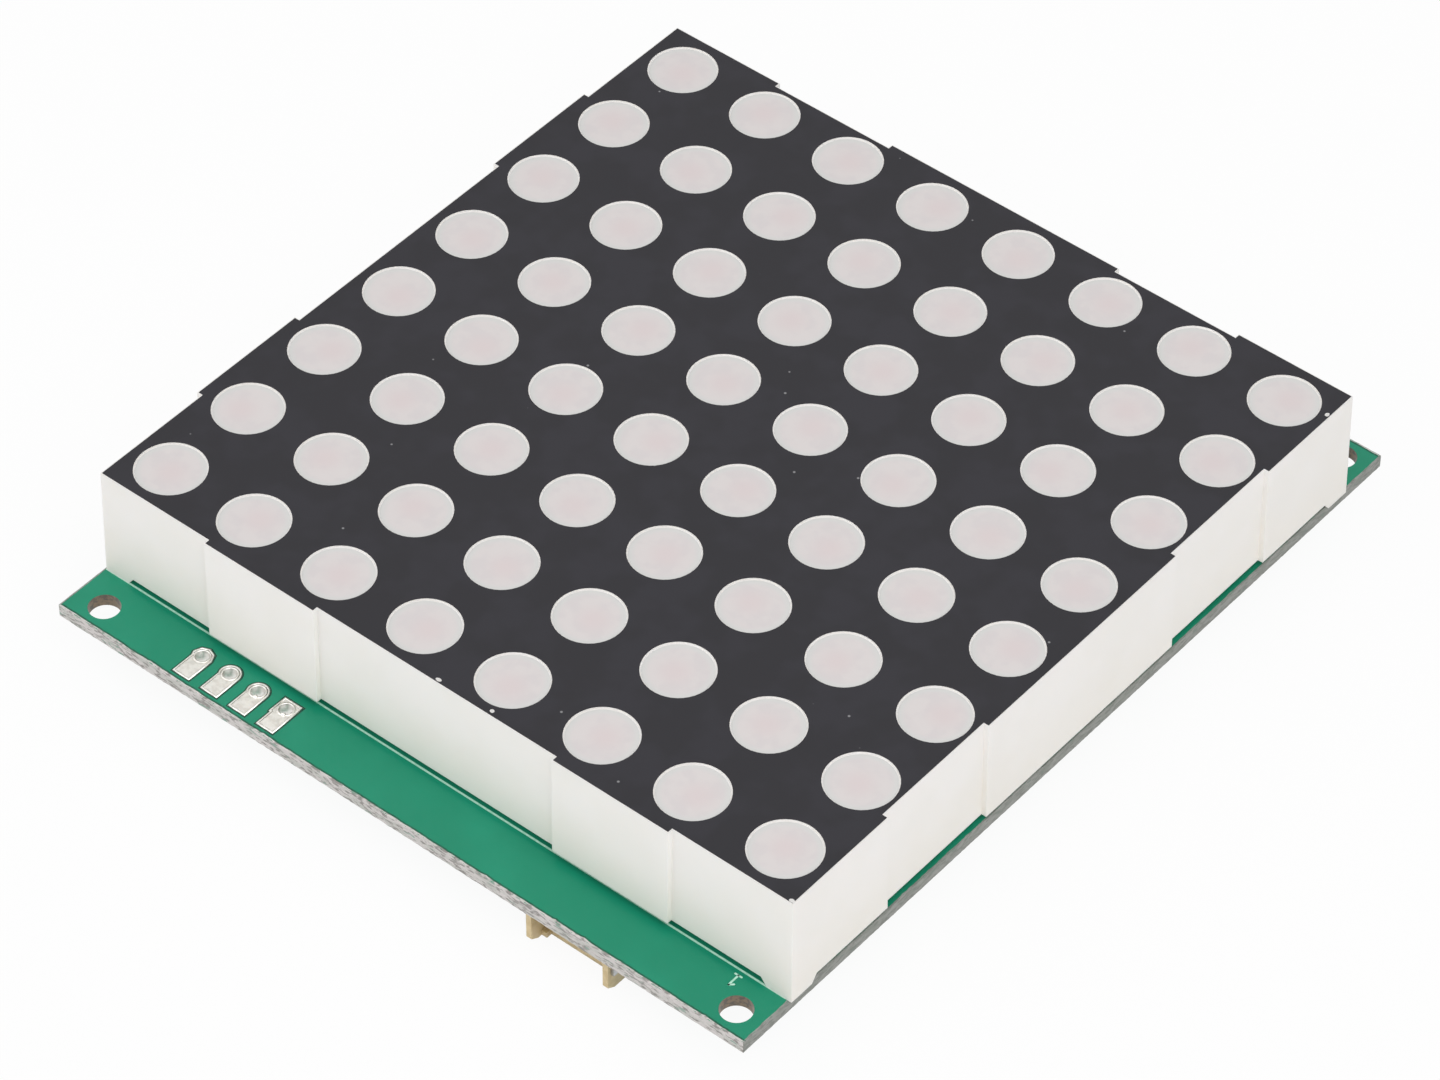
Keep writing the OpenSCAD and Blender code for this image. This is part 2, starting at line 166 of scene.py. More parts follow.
@dataclass(frozen=True)
class Finish:
    """What every finish shares; used by itself it is an even surface with a fine grain.

    Attributes:
        name: Name of the real material and how its surface was made.
        colour: Main colour, as sRGB hex.
        other: Second colour, which shows in soft patches.
        roughness: Roughness of the surface.
        specular: Specular level; 0.5 is what the refractive index gives.
        ior: Refractive index; a metal keeps the default.
        metallic: 1 for a metal.
        patch: Distance between the patches, in millimetres.
        grain: Distance between the grains of the relief, in millimetres.
        relief: Height of the grains, in millimetres.
        subsurface: Share of light that goes through the skin.
        depth: How far that light goes, in millimetres.
        draw: How far the pattern is drawn out along each axis; less than 1 is longer.
    """

    name: str
    colour: str
    other: str
    roughness: float
    specular: float = 0.5
    ior: float = 1.5
    metallic: float = 0.0
    patch: float = 1.5
    grain: float = 0.15
    relief: float = 0.004
    subsurface: float = 0.0
    depth: float = 0.5
    draw: tuple[float, float, float] = (1.0, 1.0, 1.0)

    def material(self) -> bpy.types.Material:
        """Returns the material, and builds it the first time."""
        found = bpy.data.materials.get(self.name)
        if found:
            return found
        material = bpy.data.materials.new(self.name)
        material.use_nodes = True
        tree = material.node_tree
        tree.nodes.clear()
        place = add_node(tree, "ShaderNodeTexCoord").outputs["Object"]
        relief = {"Height": self.height(tree, place), "Distance": self.relief * MM, "Strength": 1.0}
        surface = add_node(
            tree,
            "ShaderNodeBsdfPrincipled",
            {
                "Base Color": self.paint(tree, place),
                "Normal": add_node(tree, "ShaderNodeBump", relief).outputs[0],
                "Roughness": self.roughness,
                "Specular IOR Level": self.specular,
                "IOR": self.ior,
                "Metallic": self.metallic,
                "Subsurface Weight": self.subsurface,
                "Subsurface Radius": (1.0, 0.9, 0.8),
                "Subsurface Scale": self.depth * MM,
            },
        )
        add_node(tree, "ShaderNodeOutputMaterial", {"Surface": surface.outputs[0]})
        return material

    def paint(self, tree: Tree, place: Socket) -> Socket:
        """Builds the colour, layer by layer.

        Args:
            tree: The material's node tree.
            place: Socket with the point's place, in metres.

        Returns:
            The colour's socket.
        """
        stretch = add_node(tree, "ShaderNodeVectorMath", {0: place, 1: self.draw}, operation="MULTIPLY")
        colour: Any = linear(self.colour)
        for layer in self.layers(tree, place):
            noise = {"Vector": stretch.outputs[0], "Scale": 1 / (layer.spacing * MM), "Detail": 2.0}
            value = layer.value or add_node(tree, "ShaderNodeTexNoise", noise).outputs["Fac"]
            step = {"Value": value, "From Min": layer.low, "From Max": layer.high}
            share = add_node(tree, "ShaderNodeMapRange", step, interpolation_type="SMOOTHSTEP").outputs[0]
            pair = {0: share, 6: colour, 7: linear(layer.colour)}
            mixed = add_node(tree, "ShaderNodeMix", pair, data_type="RGBA", blend_type=layer.way.value)
            colour = mixed.outputs[2]
        return colour

    def layers(self, tree: Tree, place: Socket) -> list[Layer]:
        """Lists the layers of colour over the main one.

        Args:
            tree: The material's node tree.
            place: Socket with the point's place, in metres.

        Returns:
            The layers, lowest first.
        """
        return [Layer(self.other, 0.4, 0.65, spacing=self.patch)]

    def height(self, tree: Tree, place: Socket) -> Socket:
        """Builds the relief.

        Args:
            tree: The material's node tree.
            place: Socket with the point's place, in metres.

        Returns:
            The height's socket, from 0 to 1.
        """
        scale = 1 / (self.grain * MM)
        noise = add_node(tree, "ShaderNodeTexNoise", {"Vector": place, "Scale": scale, "Detail": 3.0})
        return noise.outputs["Fac"]


@dataclass(frozen=True)
class PrintedInk(Finish):
    """Matt black ink, screen printed: even charcoal with faint clouds and a few pale dust specks."""

    speck: str = "#8a8a8c"
    speck_spacing: float = 2.6
    speck_size: float = 0.045

    def layers(self, tree: Tree, place: Socket) -> list[Layer]:
        """Lists the clouds and the specks; see Finish.layers."""
        scale = 1 / (self.speck_spacing * MM)
        cells = add_node(tree, "ShaderNodeTexVoronoi", {"Vector": place, "Scale": scale})
        specks = Layer(self.speck, self.speck_size, self.speck_size / 2, cells.outputs["Distance"])
        return [*Finish.layers(self, tree, place), specks]


@dataclass(frozen=True)
class MouldedHousing(Finish):
    """White polycarbonate, moulded against fine spark-eroded steel: matt, with painted shade that darkens it
    a little towards its foot.
    """

    # painted shade: multiplies the colour darker towards the foot, fully below height low and not at all
    # above height high (mm)
    painted_foot_shade: str = "#fcfbf8"
    low: float = 1.6
    high: float = 8.0

    def layers(self, tree: Tree, place: Socket) -> list[Layer]:
        """Lists the patches and the painted shade that darkens the walls slowly from face to foot; see
        Finish.layers.
        """
        upward = add_node(tree, "ShaderNodeSeparateXYZ", {"Vector": place}).outputs["Z"]
        # painted shade, darker towards the foot of the walls
        foot = Layer(self.painted_foot_shade, self.high * MM, self.low * MM, upward, way=Mix.DARKEN)
        return [*Finish.layers(self, tree, place), foot]


@dataclass(frozen=True)
class MilkyDot(Finish):
    """Cast epoxy with white diffuser: satin pale grey, with a blurred pink glow of the dies in its middle.

    Distances within a dot are shares of the distance between two dots.
    """

    glow: str = "#dbd0d0"
    rim: str = "#d7d7d5"
    glow_reach: float = 0.23
    glow_full: float = 0.02
    rim_start: float = 0.24
    rim_full: float = 0.315
    wander: float = 0.06

    def layers(self, tree: Tree, place: Socket) -> list[Layer]:
        """Lists a rim and a glow round each dot's own centre; the glow wanders. See Finish.layers."""
        scale = 1 / (DOT_PITCH * MM)
        flat = add_node(tree, "ShaderNodeVectorMath", {0: place, 1: (scale, scale, 0)}, operation="MULTIPLY")
        cell = add_node(tree, "ShaderNodeVectorMath", {0: flat.outputs[0]}, operation="FLOOR")
        inside = add_node(tree, "ShaderNodeVectorMath", {0: flat.outputs[0]}, operation="FRACTION")
        chance = add_node(tree, "ShaderNodeTexWhiteNoise", {"Vector": cell.outputs[0]}).outputs["Color"]
        low, high = 0.5 - self.wander, 0.5 + self.wander
        limits = {"Vector": chance, 9: (high, high, 0), 10: (low, low, 0)}
        middle = add_node(tree, "ShaderNodeMapRange", limits, data_type="FLOAT_VECTOR").outputs[1]
        rim, glow = (
            add_node(tree, "ShaderNodeVectorMath", {0: inside.outputs[0], 1: spot}, operation="DISTANCE")
            for spot in ((0.5, 0.5, 0), middle)
        )
        return [
            *Finish.layers(self, tree, place),
            Layer(self.rim, self.rim_start, self.rim_full, rim.outputs["Value"]),
            Layer(self.glow, self.glow_reach, self.glow_full, glow.outputs["Value"]),
        ]


@dataclass(frozen=True)
class SolderMask(Finish):
    """Green solder mask on woven glass laminate: glossy, with the cloth's weave faint under it.

    A face that stands upright, such as a drilled wall, is bare brown-grey laminate.
    """

    weave: float = 0.5
    wall: str = "#877663"
    wall_other: str = "#605a52"

    def layers(self, tree: Tree, place: Socket) -> list[Layer]:
        """Lists the mask's patches and, on upright faces, the laminate; see Finish.layers."""
        facing = add_node(tree, "ShaderNodeNewGeometry").outputs["Normal"]
        upward = add_node(tree, "ShaderNodeSeparateXYZ", {"Vector": facing}).outputs["Z"]
        flat = add_node(tree, "ShaderNodeMath", {0: upward}, operation="ABSOLUTE").outputs[0]
        noise = {"Vector": place, "Scale": 1 / (0.3 * MM), "Detail": 2.0}
        grain = add_node(tree, "ShaderNodeTexNoise", noise).outputs["Fac"]
        dark = add_node(tree, "ShaderNodeMath", {0: grain, 1: flat}, operation="SUBTRACT").outputs[0]
        bare = [Layer(self.wall, 0.6, 0.4, flat), Layer(self.wall_other, 0.4, 0.65, dark)]
        return [*Finish.layers(self, tree, place), *bare]

    def height(self, tree: Tree, place: Socket) -> Socket:
        """Builds the weave: two waves at right angles, a yarn apart; see Finish.height."""
        yarns = {"Vector": place, "Scale": 0.314 / (2 * self.weave * MM), "Distortion": 0.6}
        across, along = (
            add_node(tree, "ShaderNodeTexWave", yarns, bands_direction=way).outputs["Fac"]
            for way in ("X", "Y")
        )
        return add_node(tree, "ShaderNodeMath", {0: across, 1: along}, operation="MULTIPLY").outputs[0]


@dataclass(frozen=True)
class CutLaminate(Finish):
    """Cut edge of a board: layers of pale glass fibre, drawn out along the cut, with darker resin."""

    resin: str = "#96928f"
    fleck: str = "#93ab9f"
    draw: tuple[float, float, float] = (0.35, 0.35, 1.3)

    def layers(self, tree: Tree, place: Socket) -> list[Layer]:
        """Lists the fibre, the resin and flecks of mask; see Finish.layers."""
        resin = Layer(self.resin, 0.48, 0.64, spacing=0.2)
        return [*Finish.layers(self, tree, place), resin, Layer(self.fleck, 0.62, 0.72, spacing=0.4)]


@dataclass(frozen=True)
class Glazed(Finish):
    """Chip resistor: black glaze over the top, bare white alumina on the sides."""

    side: str = "#d8d4cc"
    top: float = -0.4

    def layers(self, tree: Tree, place: Socket) -> list[Layer]:
        """Lists the glaze's patches, and alumina above the glazed face; see Finish.layers."""
        upward = add_node(tree, "ShaderNodeSeparateXYZ", {"Vector": place}).outputs["Z"]
        side = Layer(self.side, (self.top + 0.02) * MM, (self.top + 0.04) * MM, upward)
        return [*Finish.layers(self, tree, place), side]


# Even charcoal that hardly shines
INK = PrintedInk("screen_printed_black_ink", "#2d2c30", "#313035", 0.62, 0.25, patch=3.0, grain=0.12)
# Bright matt white that light enters a little way
HOUSING = MouldedHousing(
    "moulded_white_polycarbonate", "#f4f1ee", "#f2efeb", 0.5, 0.35, 1.58, patch=6.0, grain=0.08,
    subsurface=0.25, depth=0.6,
)
# Satin pale grey, cloudy inside
EPOXY_DOT = MilkyDot(
    "cast_diffusing_epoxy", "#dcd6d5", "#d8d2d2", 0.32, 0.4, 1.54, patch=1.2, grain=0.5, relief=0.003,
)
# Tiny dark crystals, lost in the epoxy
DIE_RED = Finish("sawn_red_die", "#7a1a18", "#a04038", 0.3, patch=0.1, grain=0.05)
DIE_GREEN = Finish("sawn_green_die", "#2a7a48", "#4a9a68", 0.3, patch=0.1, grain=0.05)
DIE_BLUE = Finish("sawn_blue_die", "#2a3a8a", "#4a5aaa", 0.3, patch=0.1, grain=0.05)
# Plain greenish white, hidden behind the cups
WHITE_MASK = SolderMask("white_mask_on_laminate", "#dcdfd6", "#d2d6cc", 0.4, patch=4.0, relief=0.006)
# Yellowish and level, like set honey
POTTING = Finish("poured_epoxy", "#d9d2c4", "#cfc7b6", 0.2, patch=5.0, grain=3.0, relief=0.03)
# Clear mid green with a soft gloss
GREEN_MASK = SolderMask("green_mask_on_laminate", "#178667", "#1b8c6d", 0.34, 0.3, patch=7.0, relief=0.006)
# The same mask where it lies over copper: lighter
MASK_ON_COPPER = Finish("green_mask_on_copper", "#3fa484", "#379b7b", 0.3, 0.4, patch=1.0, grain=0.4)
# The step where the mask ends and bare laminate shows: dark olive
BARE_GAP = Finish("bare_laminate", "#1b4a3b", "#2f5443", 0.6, 0.3, patch=0.3)
# Mask that has come loose from the glass: darker and duller
BRUISED_MASK = Finish("lifted_green_mask", "#185a45", "#1f6a52", 0.5, 0.3, patch=0.5, grain=0.1)
# Faint green shows through this thin ink
WHITE_INK = Finish("white_legend_ink", "#bfe6d4", "#a5dcc4", 0.6, 0.3, patch=0.35, grain=0.06)
# Pale, dry and fibrous
TORN_EDGE = CutLaminate(
    "routed_laminate", "#d3cecc", "#c3c3be", 0.8, 0.2, patch=0.6, grain=0.09, relief=0.03,
)
# Smoother and darker, with its layers drawn out
SAWN_EDGE = CutLaminate(
    "sawn_laminate", "#9b9c98", "#8d908a", 0.7, 0.2, patch=0.5, grain=0.07, relief=0.01, resin="#858782",
    fleck="#848d87",
)
# Bright, rounded tin with slow waves from the hot-air knife
LEVELLED_TIN = Finish(
    "hot_air_levelled_tin", "#f6f4f0", "#e8e5e0", 0.36, metallic=1.0, patch=0.5, grain=0.35, relief=0.02,
)
# Bright grey with a wet shine
SOLDER = Finish("tin_solder", "#c9cbcc", "#aeb1b3", 0.25, metallic=1.0, patch=0.4, grain=0.25, relief=0.015)
# Straight bright wire, a little clouded
PIN_TIN = Finish("tinned_steel_wire", "#cfcecb", "#b5b5b3", 0.3, metallic=1.0, patch=0.4, grain=0.12)
# Dull light grey, without mirror images
LEAD_TIN = Finish("matt_tin_plating", "#bfc0c1", "#a9abad", 0.42, metallic=1.0, patch=0.25, grain=0.05)
# Warm pale gold
BRONZE = Finish("tinned_phosphor_bronze", "#d8c795", "#c9b47c", 0.3, metallic=1.0, patch=0.3, grain=0.1)
# Waxy cream, which light enters
NYLON = Finish(
    "moulded_natural_nylon", "#d8c39a", "#ccb68a", 0.45, 0.4, 1.53, patch=0.8, grain=0.1, relief=0.006,
    subsurface=0.3, depth=0.5,
)
# Dull black with a sandy skin
MOULD_BLACK = Finish(
    "epoxy_mould_compound", "#27272a", "#2e2e31", 0.6, 0.4, patch=0.5, grain=0.07, relief=0.012,
)
# Biscuit brown
CERAMIC = Finish("fired_brown_ceramic", "#9a7a58", "#8a6a49", 0.5, 0.4, patch=0.2, grain=0.06)
# Glassy black
GLAZE = Glazed("glazed_chip_resistor", "#1b1b1d", "#222225", 0.25, 0.5, patch=0.3)


# ---- Mesh making ----


def spread(count: int, pitch: float) -> list[float]:
    """Returns places a pitch apart, centred on zero."""
    return [(i - (count - 1) / 2) * pitch for i in range(count)]


def circle(centre: Point, radius: float, steps: int = 24) -> Outline:
    """Returns points round a circle, counter-clockwise."""
    turns = [2 * math.pi * i / steps for i in range(steps)]
    return [(centre[0] + radius * math.cos(t), centre[1] + radius * math.sin(t)) for t in turns]


def rounded_box(centre: Point, size: Point, radius: float, steps: int = 4) -> Outline:
    """Returns a rectangle with round corners, counter-clockwise.

    Args:
        centre: Middle of the rectangle.
        size: Its two sides.
        radius: Radius of the corners.
        steps: Number of chords in each corner.

    Returns:
        The outline's points.
    """
    reach = (size[0] / 2 - radius, size[1] / 2 - radius)
    points: Outline = []
    for corner, (sx, sy) in enumerate([(1, 1), (-1, 1), (-1, -1), (1, -1)]):
        for i in range(steps + 1):
            turn = (corner + i / steps) * math.pi / 2
            x = centre[0] + sx * reach[0] + radius * math.cos(turn)
            y = centre[1] + sy * reach[1] + radius * math.sin(turn)
            points.append((x, y))
    return points


def grown(outline: Outline, amount: float) -> Outline:
    """Moves every side of a counter-clockwise outline outwards.

    Args:
        outline: Points of the outline.
        amount: Distance to move, negative for inwards.

    Returns:
        The moved points, one for each that came in.
    """
    points: Outline = []
    for i, here in enumerate(outline):
        before, after = Vector(outline[i - 1]), Vector(outline[(i + 1) % len(outline)])
        first = (Vector(here) - before).normalized()
        second = (after - Vector(here)).normalized()
        normal = Vector((first.y + second.y, -first.x - second.x))
        normal.normalize()
        reach = amount / max(0.35, normal.dot(Vector((first.y, -first.x))))
        points.append((here[0] + normal.x * reach, here[1] + normal.y * reach))
    return points


def line_outline(path: Sequence[Point], width: float, ends: int = 6) -> Outline:
    """Gives a line its width, with mitred bends and round ends.

    Args:
        path: Points of the line.
        width: Width of the line.
        ends: Number of chords in each round end.

    Returns:
        The outline, counter-clockwise.
    """
    points = [Vector(p) for p in path]
    half = width / 2
    steps = [(b - a).normalized() for a, b in zip(points, points[1:])]
    side: list[Vector] = []
    for i, _ in enumerate(points):
        first, second = steps[max(0, i - 1)], steps[min(i, len(steps) - 1)]
        normal = Vector((first.y + second.y, -first.x - second.x)).normalized()
        side.append(normal * (half / max(0.4, normal.dot(Vector((first.y, -first.x))))))
    right = [p + s for p, s in zip(points, side)]
    left = [p - s for p, s in zip(points, side)]
    outline: Outline = [tuple(p) for p in right]
    turns = [math.pi * i / ends for i in range(1, ends)]
    for centre, start in ((points[-1], side[-1]), (points[0], -side[0])):
        cap = [centre + Matrix.Rotation(turn, 2) @ (start.normalized() * half) for turn in turns]
        outline += [tuple(p) for p in cap]
        if centre is points[-1]:
            outline += [tuple(p) for p in reversed(left)]
    return outline


def level(outline: Outline, z: float) -> Loop:
    """Returns an outline's points at one height."""
    return [(x, y, z) for x, y in outline]


def put(name: str, data: bpy.types.ID | None) -> bpy.types.Object:
    """Makes an object from a mesh, lamp or camera and puts it in the scene."""
    made = bpy.data.objects.new(name, data)
    bpy.context.scene.collection.objects.link(made)
    return made


class Maker:
    """Collects the faces of one piece, in millimetres, and makes the object from them."""

    def __init__(self) -> None:
        """Starts with no faces."""
        self.mesh = bmesh.new()

    def loft(self, loops: Sequence[Loop], caps: bool = True, closed: bool = True) -> None:
        """Joins neighbouring loops with faces.

        Args:
            loops: Loops with the same number of points each.
            caps: Whether the first and the last loop are filled.
            closed: Whether each loop's last point joins its first.
        """
        rows = [[self.mesh.verts.new(p) for p in loop] for loop in loops]
        count = len(rows[0])
        for low, high in zip(rows, rows[1:]):
            for i in range(count if closed else count - 1):
                j = (i + 1) % count
                self.mesh.faces.new((low[i], low[j], high[j], high[i]))
        if caps:
            self.mesh.faces.new(list(reversed(rows[0])))
            self.mesh.faces.new(rows[-1])

    def plate(self, outline: Outline, low: float, high: float) -> None:
        """Adds a flat plate with this outline, between two heights."""
        self.loft([level(outline, low), level(outline, high)])

    def bead(self, outline: Outline, profile: Sequence[Point]) -> None:
        """Adds a closed bead along an outline.

        Args:
            outline: Counter-clockwise line that the bead follows.
            profile: Its section, as [distance outwards, height] points.
        """
        loops = [level(grown(outline, out), z) for out, z in profile]
        self.loft([*loops, loops[0]], caps=False)

    def piece(self, name: str, finish: Finish, smooth: bool = False) -> bpy.types.Object:
        """Makes the object, gives it its finish and lets it ride on the frame.

        Args:
            name: Name of the piece.
            finish: Its finish.
            smooth: Whether its faces shade smoothly.

        Returns:
            The new object.
        """
        bmesh.ops.remove_doubles(self.mesh, verts=self.mesh.verts, dist=1e-5)
        bmesh.ops.recalc_face_normals(self.mesh, faces=self.mesh.faces)
        data = bpy.data.meshes.new(name)
        self.mesh.to_mesh(data)
        self.mesh.free()
        data.transform(Matrix.Scale(MM, 4))
        for polygon in data.polygons:
            polygon.use_smooth = smooth
        made = put(name, data)
        data.materials.append(finish.material())
        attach(made, BODY)
        LOG.info("made %s: %d faces", name, len(data.polygons))
        return made


@dataclass
class Assembly:
    """A sub-assembly of the display.

    Attributes:
        nodes: The frame's solids, by name.
    """

    nodes: dict[str, bpy.types.Object]

    def finishes(self) -> dict[str, Finish]:
        """Returns the finish of each of its solids, by the start of their names."""
        return {}

    def box(self, *names: str) -> tuple[list[float], list[float]]:
        """Returns the lowest and highest corners round these solids, to 0.01 mm."""
        corners = [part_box(name) for name in names]
        low, high = (
            [round(pick(box[end][i] for box in corners) / MM, 2) for i in range(3)]
            for end, pick in ((0, min), (1, max))
        )
        return low, high

    def dress(self) -> None:
        """Gives each of its solids its finish."""
        for start, finish in self.finishes().items():
            for name, solid in self.nodes.items():
                if name.startswith(start):
                    solid.data.materials.clear()
                    solid.data.materials.append(finish.material())
                    LOG.info("dressed %s in %s", name, finish.name)

    def build(self) -> None:
        """Dresses the solids and makes the fine pieces."""
        self.dress()


# ---- Display module ----


@dataclass
class DisplayModule(Assembly):
    """The moulded housing with its printed face, its dots and its pins.

    Attributes:
        chips: Where the ink has chipped off the face: x, y, size along X, size along Y.
        face_z: Height of the face.
    """

    chips: tuple[tuple[float, float, float, float], ...] = (
        (0.1, -29.72, 0.5, 0.3),
        (4.6, -29.6, 0.35, 0.3),
        (29.72, 27.4, 0.3, 0.4),
        (29.77, -29.79, 0.4, 0.3),
    )
    face_z: float = field(init=False)

    def __post_init__(self) -> None:
        """Takes the height of the face from the printed film."""
        self.face_z = self.box("face_film")[1][2]

    def finishes(self) -> dict[str, Finish]:
        """Returns the finish of each solid; see Assembly.finishes."""
        return {
            "face_film": INK,
            "reflector_housing": HOUSING,
            "diffuser_dots": EPOXY_DOT,
            "red_dies": DIE_RED,
            "green_dies": DIE_GREEN,
            "blue_dies": DIE_BLUE,
            "die_board": WHITE_MASK,
            "potting": POTTING,
            "front_pin_row": PIN_TIN,
            "rear_pin_row": PIN_TIN,
        }

    def build(self) -> None:
        """Dresses the module and chips its ink."""
        self.dress()
        self.ink_chips()

    def ink_chips(self) -> None:
        """Makes the small places along the face's edges where white plastic shows through the ink."""
        maker = Maker()
        chance = random.Random(8)
        for x, y, size_x, size_y in self.chips:
            ring = [
                (px + chance.uniform(-0.05, 0.05), py + chance.uniform(-0.05, 0.05))
                for px, py in circle((0, 0), 0.5, 9)
            ]
            outline = [(x + px * size_x, y + py * size_y) for px, py in ring]
            maker.plate(outline, self.face_z - 0.01, self.face_z + 0.006)
        maker.piece("chipped_ink", HOUSING)


# ---- Driver board ----


class Cut(Enum):
    """Ways in which a side of the board was cut: how far the cut wanders, in millimetres, and its finish."""

    ROUTED = (0.05, TORN_EDGE)
    SAWN = (0.03, SAWN_EDGE)


class PadEnd(Enum):
    """Shapes of the end of a header pad, round its hole."""

    EIGHT_SIDED = 8
    ROUND = 0
    SQUARE = 4


@dataclass
class DriverBoard(Assembly):
    """The green board with its legend ink, its header pads and its cut edges.

    Attributes:
        line_y: Where the ink line in front of the housing lies.
        line_w: Width of that line.
        numeral_at: Middle of the numeral beside one hole.
        numeral_h: Height of the numeral.
        ends: Shape of each header pad's end.
        pad_w: Width of a pad's strap.
        ring_d: Diameter of its round end.
        hole_d: Diameter of its hole.
        pad_t: Thickness of its copper.
        gap_w: Width of the gap in the mask round it.
        bruise_w: Width of the lifted mask along a routed side.
        ragged_step: Distance between the corners of a ragged line.
    """

    line_y: float = -30.1
    line_w: float = 0.15
    numeral_at: Point = (26.1, -31.05)
    numeral_h: float = 1.0
    ends: tuple[PadEnd, ...] = (PadEnd.EIGHT_SIDED, PadEnd.ROUND, PadEnd.ROUND, PadEnd.SQUARE)
    pad_w: float = 1.5
    ring_d: float = 1.62
    hole_d: float = 1.0
    pad_t: float = 0.05
    gap_w: float = 0.12
    bruise_w: float = 0.14
    ragged_step: float = 0.22

    def __post_init__(self) -> None:
        """Takes the board's outline and the pads' places from their solids."""
        (self.low_x, _, _), (self.high_x, self.end_y, self.top) = self.box("driver_board")
        (_, self.pad_end_y, _), (pads_x, pads_y, _) = self.box("header_pads")
        self.pad_x = [round(pads_x - self.ring_d / 2 - i * PIN_PITCH, 2) for i in (3, 2, 1, 0)]
        self.header_y = round(pads_y - 1.04 * self.ring_d / 2, 2)

    def finishes(self) -> dict[str, Finish]:
        """Returns the finish of each solid; see Assembly.finishes."""
        return {
            "driver_board": GREEN_MASK,
            "header_pads": LEVELLED_TIN,
            "front_pin_solder": SOLDER,
            "rear_pin_solder": SOLDER,
        }

    def build(self) -> None:
        """Dresses the board and makes its ink, pads and edges."""
        self.dress()
        self.legend()
        self.mask_openings()
        self.pad_tin()
        corners = [
            (self.low_x, -self.end_y), (self.high_x, -self.end_y), (self.high_x, self.end_y),
            (self.low_x, self.end_y),
        ]
        sides = (("front", Cut.ROUTED), ("right", Cut.SAWN), ("rear", Cut.ROUTED), ("left", Cut.SAWN))
        for i, (side, cut) in enumerate(sides):
            self.edge(side, corners[i], corners[(i + 1) % 4], cut)

    def legend(self) -> None:
        """Makes the ink line in front of the housing and a plain numeral beside one hole."""
        maker = Maker()
        z = self.top
        line = [(self.low_x + 0.15, self.line_y), (self.high_x - 0.3, self.line_y)]
        maker.plate(line_outline(line, self.line_w), z, z + INK_T)
        x, y = self.numeral_at
        half = self.numeral_h / 2
        strokes = (
            [(x, y - half), (x, y + half)],
            [(x + 0.26, y + half), (x - 0.26, y + half)],
            [(x, y - half), (x + 0.26, y - half + 0.24)],
        )
        for stroke in strokes:
            maker.plate(line_outline(stroke, 0.14), z, z + INK_T)
        maker.piece("legend_ink", WHITE_INK)

    def pad_outline(self, place: int) -> Outline:
        """Returns the outline of one header pad.

        Args:
            place: Place of the pad in the row, which settles the shape of its end.

        Returns:
            The outline, counter-clockwise: strap, then its round, eight-sided or square end.
        """
        x, y = self.pad_x[place], self.header_y
        radius = self.ring_d / 2
        right = radius
        left = right - self.pad_w
        if self.ends[place] is PadEnd.EIGHT_SIDED:
            radius *= 1.04
            end = [*circle((0, 0), radius, 8)[:5], (left, -0.37)]
        elif self.ends[place] is PadEnd.SQUARE:
            end = [(radius, radius), (-radius, radius), (-radius, -radius), (left, -radius)]
        else:
            last = math.pi + math.acos(-left / radius)
            end = [(radius * math.cos(last * t / 18), radius * math.sin(last * t / 18)) for t in range(19)]
        strap = self.pad_end_y - self.header_y
        return [(x + px, y + py) for px, py in [(left, strap), (right, strap), *end]]

    def mask_openings(self) -> None:
        """Makes the narrow dark gap between each pad and the mask round it."""
        maker = Maker()
        for place in range(4):
            low, high = self.top, self.top + 0.004
            profile = [(0.0, low), (0.0, high), (self.gap_w, high), (self.gap_w, low)]
            maker.bead(self.pad_outline(place), profile)
        maker.piece("mask_openings", BARE_GAP)

    def pad_tin(self) -> None:
        """Makes the raised tin along the rim of each pad and hole, and two spilled drops."""
        maker = Maker()
        z = self.top + self.pad_t
        for place in range(4):
            rim = [(0.02, z - 0.05), (0.0, z), (-0.04, z + 0.03), (-0.1, z + 0.03), (-0.16, z)]
            maker.bead(self.pad_outline(place), rim)
            centre = (self.pad_x[place], self.header_y)
            lip = [(0.0, z - 0.03), (-0.02, z + 0.01), (0.03, z + 0.035), (0.1, z + 0.03), (0.15, z)]
            maker.bead(circle(centre, self.hole_d / 2, 32), lip)
            if place >= 2:
                spot = (centre[0] + 0.2, centre[1] - 0.48)
                sizes = [(0.17, 0.0), (0.16, 0.06), (0.11, 0.12), (0.05, 0.15)]
                maker.loft([level(circle(spot, r, 12), z + up) for r, up in sizes])
        maker.piece("header_pad_rims", LEVELLED_TIN, smooth=True)

